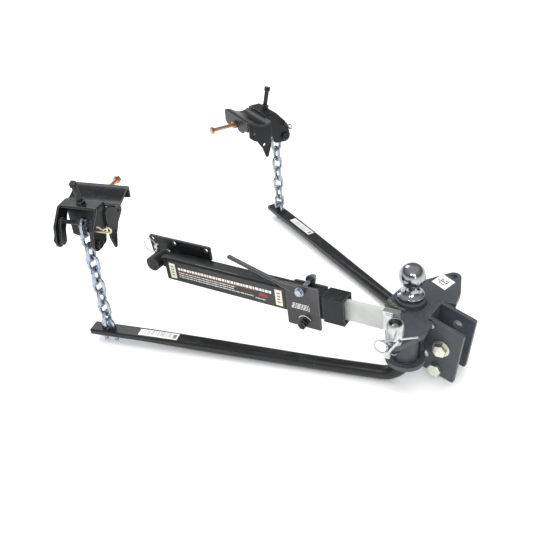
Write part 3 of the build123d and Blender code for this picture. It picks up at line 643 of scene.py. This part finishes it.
def ring_path(x, y, z, radius):
    """A full turn round a vertical axis, in millimetres."""
    angles = [math.radians(360 * i / RING_POINTS) for i in range(RING_POINTS + 1)]
    return [mm(x + radius * math.cos(a), y + radius * math.sin(a), z) for a in angles]


def level_path(z, *points):
    return [mm(x, y, z) for x, y in points]


ON_WING, UNDER_WING, ON_BOTTOM_PLATE = -12, -24.6, -93.4  # heights of the beads there
CHEEK_REAR_X, CHEEK_Y = 60.4, 36  # a cheek's rear edge and outer face
UNDER_SADDLE, SADDLE_LINE = (-48.6, 187.6), (-62, -30, 0, 29)
FRONT_PLATE_U = 39.4
FRONT_PLATE_LINE = ((-103, 188), (-86, 179), (-66, 174), (-50, 178))
NUT_R, NUT_ANGLES = 11, [math.tau * i / 24 for i in range(25)]
for side, turn in SIDES.items():
    x, y = SOCKET[0], turn * SOCKET[1]
    socket_top, socket_foot = ring_path(x, y, UNDER_WING, 27.4), ring_path(x, y, ON_BOTTOM_PLATE, 27.6)
    weld_bead(f"{side}_socket_top_weld", HEAD, socket_top, width=4, seed=1)
    weld_bead(f"{side}_socket_foot_weld", HEAD, socket_foot, width=5, seed=2)
    cheek_line = [mm(CHEEK_REAR_X, turn * (CHEEK_Y + 0.3), z) for z in (-26, -60, -92)]
    weld_bead(f"{side}_cheek_weld", HEAD, cheek_line, width=5, seed=3)
    cheek_top = [mm(x, turn * (CHEEK_Y + 0.4), ON_WING + 0.2) for x in (61, 66, 71)]
    weld_bead(f"{side}_cheek_top_weld", HEAD, cheek_top, width=4.5, seed=4)
    rail = RAIL[side]
    saddle_line = [local(rail, u, *UNDER_SADDLE) for u in SADDLE_LINE]
    weld_bead(f"{side}_saddle_weld", HEAD, saddle_line, width=4, seed=5)
    plate_line = [local(rail, FRONT_PLATE_U, v, z) for v, z in FRONT_PLATE_LINE]
    weld_bead(f"{side}_front_plate_weld", HEAD, plate_line, width=4, seed=6)
    u, v, z = SET_SCREW_SEAT
    around = [(NUT_R * math.cos(a), NUT_R * math.sin(a)) for a in NUT_ANGLES]
    nut_ring = [local(rail, u + across, v + along, z + 0.6) for across, along in around]
    weld_bead(f"{side}_screw_nut_weld", HEAD, nut_ring, width=2.6, seed=7)

CORNER_LINE = ((-40, -20), (-36, -30), (-25, -39), (-8, -38.5), (10, -40))
CAP_LINE = ((-38, -26), (-27, -36), (-12, -36))
SLOT_LINE = ((51, 44), (47.5, 30), (46.2, 12), (45.2, -19), (49, -32.5), (58, -44), (70, -56))
SPATTER = {  # (x, z) on the near cheek's face, width, seed
    "spatter_upper": (((64, -16), (70, -22), (77, -29)), 12, 10),
    "spatter_lower": (((61, -96), (65, -104), (69, -112)), 10, 11),
}
pad_ring = ring_path(0, 0, ON_WING + 0.8, 34.4)
weld_bead("ball_plate_weld", HEAD, pad_ring, width=5, seed=8)
corner_line = level_path(ON_WING + 2, *CORNER_LINE)
weld_bead("rear_corner_weld", HEAD, corner_line, width=9, seed=9, material=BARE_WELD)
cap_line = level_path(ON_WING + 4, *CAP_LINE)
weld_bead("rear_corner_weld_cap", HEAD, cap_line, width=9, seed=15, material=BARE_WELD)
slot_line = level_path(ON_WING, *SLOT_LINE)
weld_bead("slot_weld", HEAD, slot_line, width=3.4, seed=16, material=LOOKS["charcoal_paint"])
for name, (points, width, seed) in SPATTER.items():
    drops = [mm(x, -CHEEK_Y - 1, z) for x, z in points]
    weld_bead(name, HEAD, drops, width, seed, LOOKS["silver_zinc"])
seam = [local(SWAY, s, 35.1, -12) for s in (-512, -390)]
weld_bead("case_seam", "friction_unit", seam, width=2.2, seed=12, material=LOOKS["clamp_paint"])
tab_edge = [local(SWAY, -33, h, -20.2) for h in (-14, 8, 30)]
weld_bead("tab_weld", "slider", tab_edge, width=3, seed=13, material=LOOKS["silver_zinc"])
web_foot = [mm(49.6, y, ON_BOTTOM_PLATE) for y in (-52, 0, 52)]
weld_bead("rear_web_foot_weld", HEAD, web_foot, width=4, seed=14)

LINKS, LINK_PITCH, LINK_INSIDE, LINK_WIDTH, WIRE = 9, 32.3, 32.6, 34, 9
ROD_Z, ROD_R = 162, 5
LINK_WELD = [(4.5, -3.4), (4.85, -2), (5.15, -0.7), (5.15, 0.7), (4.85, 2), (4.5, 3.4)]


def chain_weld(side, body, number):
    """The swollen butt weld halfway along one leg of a chain link."""
    centre_z = ROD_Z + ROD_R - LINK_INSIDE / 2 - LINK_PITCH * number
    bow = (LINK_WIDTH - WIRE) / 2
    offset = (0, bow) if number % 2 == 0 else (-bow, 0)
    bm = bmesh.new()
    skin(bm, [circle(r * MM, z * MM, 24) for r, z in LINK_WELD])
    place = Matrix.Translation(local(RAIL[side], *offset, centre_z))
    look = LOOKS["blue_zinc"]
    new_piece(f"{side}_link_weld_{number}", placed(bm, place), look, body, 60)


for side in SIDES:
    for number in range(LINKS):
        chain_weld(side, f"{side}_top_link" if number == 0 else f"{side}_chain", number)

# ======================= labels with generic marks =======================
FILM = 0.25  # thickness of a label


def patch(name, body, frame_matrix, corners, material, thick=FILM, corner=0.0):
    """A thin printed panel: corners (x, y) in millimetres on the frame's xy plane."""
    bm = bmesh.new()
    outline = rounded_loop(corners, corner) if corner else corners
    lower = [bm.verts.new((x * MM, y * MM, 0)) for x, y in outline]
    upper = [bm.verts.new((x * MM, y * MM, thick * MM)) for x, y in outline]
    bm.faces.new(list(reversed(lower)))
    bm.faces.new(upper)
    for i in range(len(outline)):
        j = (i + 1) % len(outline)
        bm.faces.new((lower[i], lower[j], upper[j], upper[i]))
    bmesh.ops.recalc_face_normals(bm, faces=bm.faces)
    bm.transform(frame_matrix)
    bmesh.ops.recalc_face_normals(bm, faces=bm.faces)
    return new_piece(name, bm, material, body)


def box_corners(x0, y0, x1, y1):
    return [(x0, y0), (x1, y0), (x1, y1), (x0, y1)]


def marks(name, body, frame_matrix, boxes, material):
    """Small printed bars, standing in for lettering, as one piece."""
    thick = 0.2
    bm = bmesh.new()
    for x0, y0, x1, y1 in boxes:
        cell = bmesh.ops.create_cube(bm, size=1)["verts"]
        size = Matrix.Diagonal(((x1 - x0) * MM, (y1 - y0) * MM, thick * MM, 1))
        middle = Matrix.Translation(mm((x0 + x1) / 2, (y0 + y1) / 2, thick / 2))
        bmesh.ops.transform(bm, matrix=middle @ size, verts=cell)
    bm.transform(frame_matrix)
    bmesh.ops.recalc_face_normals(bm, faces=bm.faces)
    return new_piece(name, bm, material, body)


def dashes(x0, x1, y, height, lengths, gap):
    """Bars of repeating lengths along a line."""
    boxes, x, i = [], x0, 0
    while x < x1:
        stop = min(x + lengths[i % len(lengths)], x1)
        boxes.append((x, y, stop, y + height))
        x, i = stop + gap, i + 1
    return boxes


# The friction case's long label.
UNIT = "friction_unit"
FACE_OF_CASE = shifted(SWAY, 0, 0, -7.6)
OVER_FILM = shifted(FACE_OF_CASE, 0, 0, FILM)
OVER_BOX = shifted(OVER_FILM, 0, 0, FILM)
TEXT_LEFT = -568
patch("case_film", UNIT, FACE_OF_CASE, box_corners(-598, -22, -266, 30), DARK_FILM, corner=2)
for name, start in (("rear", -595), ("front", -290)):
    patch(f"case_{name}_box", UNIT, OVER_FILM, box_corners(start, -18, start + 18, 24), CREAM)
    cells = [(start + 5, y, start + 13, y + 4) for y in (-11, -3, 5, 13)]
    marks(f"case_{name}_box_marks", UNIT, OVER_BOX, cells, GREY_INK)
title = dashes(TEXT_LEFT, -300, 9, 7, (7, 5, 9, 6, 4, 8), 2.2)
marks("case_title", UNIT, OVER_FILM, title, WHITE)
marks("case_title_line", UNIT, OVER_FILM, [(TEXT_LEFT, 5.6, -345, 6.8)], RED_INK)
fine = []
for y, stop in ((1, -400), (-5, -405), (-11, -350)):
    fine += dashes(TEXT_LEFT, stop, y, 2, (5, 9, 3, 7, 11, 4), 1.8)
marks("case_fine_lines", UNIT, OVER_FILM, fine, WHITE)
marks("case_number", UNIT, OVER_FILM, dashes(-345, -318, -14, 2, (4, 6), 1.5), WHITE)
marks("case_red_marks", UNIT, OVER_FILM, [(-335, -6, -312, 2), (-330, 3, -318, 5)], RED_INK)

# The clamp plate's marks: hatching beside the handle, an arc of dashes round the adjuster.
FACE_OF_CLAMP = shifted(SWAY, 0, 0, -2.6)
ARC_DASHES, ARC_START, ARC_SPAN, ARC_IN, ARC_OUT = 9, 25, 130, 16, 17.6
hatch = []
for row in range(4):
    hatch += dashes(-246 + row * 1.5, -200, -9 + row * 4, 2, (6, 3, 8, 4), 2)
marks("clamp_hatch", UNIT, FACE_OF_CLAMP, hatch, WHITE)
for i in range(ARC_DASHES):
    a0, a1 = (math.radians(ARC_START + ARC_SPAN * k / ARC_DASHES) for k in (i, i + 1))
    rim = ((ARC_IN, a0), (ARC_OUT, a0), (ARC_OUT, a1), (ARC_IN, a1))
    corners = [(ADJUSTER[0] + r * math.cos(a), ADJUSTER[1] + r * math.sin(a)) for r, a in rim]
    patch(f"clamp_arc_{i}", UNIT, FACE_OF_CLAMP, corners, WHITE, thick=0.2)
band = box_corners(-257, -54, -177, -16)
patch("clamp_lower_band", UNIT, FACE_OF_CLAMP, band, DARK_FILM, thick=0.15)


def bar_label(side, start, stop, low, high):
    """A white label on a spring bar: four lines of print and a block."""
    body = f"{side}_bar"
    patch(f"{side}_bar_label", body, BAR[side], box_corners(start, low, stop, high), WHITE)
    boxes = []
    for y in (low + 3.2, low + 7, low + 10.8, low + 14.6):
        boxes += dashes(start + 18, stop - 8, y, 1.7, (9, 4, 12, 6, 3, 8), 2.2)
    boxes += [(start + 4, low + 4, start + 13, high - 4)]
    marks(f"{side}_bar_label_marks", body, shifted(BAR[side], 0, 0, FILM), boxes, GREY_INK)


bar_label("right", 541, 643, -11, 11)
bar_label("left", 546, 650, -10, 10)

# The label on the far wing, and the print on the slider's tab.
DIAMOND = [(4.8, 93), (44.3, 78.3), (50.9, 118.4), (13.4, 133.3)]
DIAMOND_MARKS = [
    (-12, 4, -3, 7), (-1, 5, 10, 8), (-10, -2, 5, 1.5), (7, -4, 11, 3), (-7, -10, -2, -5),
    (0, -10, 9, -7), (-14, -5, -10, -1),
]
patch("wing_label", HEAD, shifted(WORLD, 0, 0, ON_WING), DIAMOND, WHITE)
print_turn = Matrix.Rotation(math.radians(-20), 4, "Z")
print_place = shifted(WORLD, 28.3, 105.8, ON_WING + FILM) @ print_turn
marks("wing_label_marks", HEAD, print_place, DIAMOND_MARKS, BLACK_INK)
tab_lines = dashes(-26, -5, 28, 1.3, (3, 5), 1.4) + dashes(-26, -5, 24, 1.3, (6, 2), 1.4)
marks("tab_marks", "slider", shifted(SWAY, 0, 0, -14), tab_lines, BLACK_INK)

# ======================= floor, light and camera =======================
FLOOR_DROP = 3 * MM
FLOOR_HALF = 30
BACKDROP = (1.35, 1.35, 1.35, 1)
WORLD_STRENGTH = 0.75


def make_floor():
    bm = bmesh.new()
    bmesh.ops.create_grid(bm, x_segments=1, y_segments=1, size=FLOOR_HALF)
    mesh = bpy.data.meshes.new("floor")
    bm.to_mesh(mesh)
    bm.free()
    floor = bpy.data.objects.new("floor", mesh)
    floor.location = (0, 0, BOX_LOW[2] - FLOOR_DROP)
    bpy.context.scene.collection.objects.link(floor)
    look = Look("floor_white", (0.93, 0.93, 0.93), 0.0, 0.6)
    look.paint((0.90, 0.90, 0.90), look.ramp(look.noise(0.4), 0.4, 0.8, end=0.2))
    mesh.materials.append(look.finish())


def make_world():
    """Bright at the horizon, a dark band above it for the chrome, pale at the top."""
    world = bpy.data.worlds.new("studio")
    world.use_nodes = True
    tree = world.node_tree
    background = tree.nodes["Background"]
    place = tree.nodes.new("ShaderNodeTexCoord")
    split = tree.nodes.new("ShaderNodeSeparateXYZ")
    ramp = tree.nodes.new("ShaderNodeValToRGB")
    tree.links.new(place.outputs["Generated"], split.inputs[0])
    tree.links.new(split.outputs["Z"], ramp.inputs["Fac"])
    tree.links.new(ramp.outputs["Color"], background.inputs["Color"])
    stops = ramp.color_ramp.elements
    stops[0].position, stops[0].color = 0.13, BACKDROP
    stops[1].position, stops[1].color = 0.85, (0.8, 0.82, 0.85, 1)
    stops.new(0.28).color = (0.13, 0.14, 0.155, 1)
    background.inputs["Strength"].default_value = WORLD_STRENGTH
    # The backdrop itself is seen plain and pale; the darker band only shows in reflections.
    plain = tree.nodes.new("ShaderNodeBackground")
    plain.inputs["Color"].default_value = BACKDROP
    plain.inputs["Strength"].default_value = WORLD_STRENGTH
    seen = tree.nodes.new("ShaderNodeLightPath")
    choice = tree.nodes.new("ShaderNodeMixShader")
    tree.links.new(seen.outputs["Is Camera Ray"], choice.inputs["Fac"])
    tree.links.new(background.outputs[0], choice.inputs[1])
    tree.links.new(plain.outputs[0], choice.inputs[2])
    tree.links.new(choice.outputs[0], tree.nodes["World Output"].inputs["Surface"])
    bpy.context.scene.world = world


def make_daylight():
    """A wide, soft sun that leaves no highlight of its own."""
    daylight = bpy.data.lights.new("soft_daylight", "SUN")
    daylight.energy = 3.4
    daylight.angle = math.radians(100)
    lamp = bpy.data.objects.new("soft_daylight", daylight)
    lamp.rotation_euler = (math.radians(8), math.radians(-10), 0)
    lamp.visible_glossy = False
    bpy.context.scene.collection.objects.link(lamp)


def area_light(name, place, aim, size, power):
    data = bpy.data.lights.new(name, "AREA")
    data.shape = "RECTANGLE"
    data.size, data.size_y = size
    data.energy = power
    lamp = bpy.data.objects.new(name, data)
    lamp.location = place
    lamp.rotation_euler = (Vector(aim) - Vector(place)).to_track_quat("-Z", "Y").to_euler()
    bpy.context.scene.collection.objects.link(lamp)


# The viewpoint: azimuth is turned from looking along +Y, elevation is up from level.
AZIMUTH, ELEVATION, ROLL = 39.579, 34.638, -3.709
CAMERA_PLACE = Vector((0.5239, -1.0981, 0.8969))
LENS_PER_FRAME = 1.2203  # focal length over frame width
SENSOR = 36.0


def make_camera():
    a, e, r = (math.radians(x) for x in (AZIMUTH, ELEVATION, ROLL))
    back = Vector((math.sin(a) * math.cos(e), -math.cos(a) * math.cos(e), math.sin(e)))
    right = Vector((math.cos(a), math.sin(a), 0))
    up = back.cross(right)
    turned_right = math.cos(r) * right + math.sin(r) * up
    turned_up = math.cos(r) * up - math.sin(r) * right
    data = bpy.data.cameras.new("camera")
    data.lens = SENSOR * LENS_PER_FRAME
    data.sensor_width = SENSOR
    data.clip_start = 0.05
    camera = bpy.data.objects.new("camera", data)
    turn = Matrix((turned_right, turned_up, back)).transposed().to_4x4()
    camera.matrix_world = Matrix.Translation(CAMERA_PLACE) @ turn
    bpy.context.scene.collection.objects.link(camera)
    bpy.context.scene.camera = camera


make_floor()
make_world()
make_daylight()
MIDDLE = ((BOX_LOW[0] + BOX_HIGH[0]) / 2, 0, 0)
BALL_CENTRE = (0, 0, BALL_Z * MM)
area_light("key", (-2.2, 0.9, 1.9), MIDDLE, size=(1.0, 1.4), power=16)
area_light("strip", (1.7, -1.3, 0.9), MIDDLE, size=(0.25, 1.4), power=6)
area_light("left_box", (0.30, -1.15, 1.05), BALL_CENTRE, size=(0.22, 0.30), power=3.0)
area_light("right_box", (0.78, -0.95, 1.02), BALL_CENTRE, size=(0.22, 0.30), power=3.0)
make_camera()
bpy.context.scene.view_settings.view_transform = "Standard"
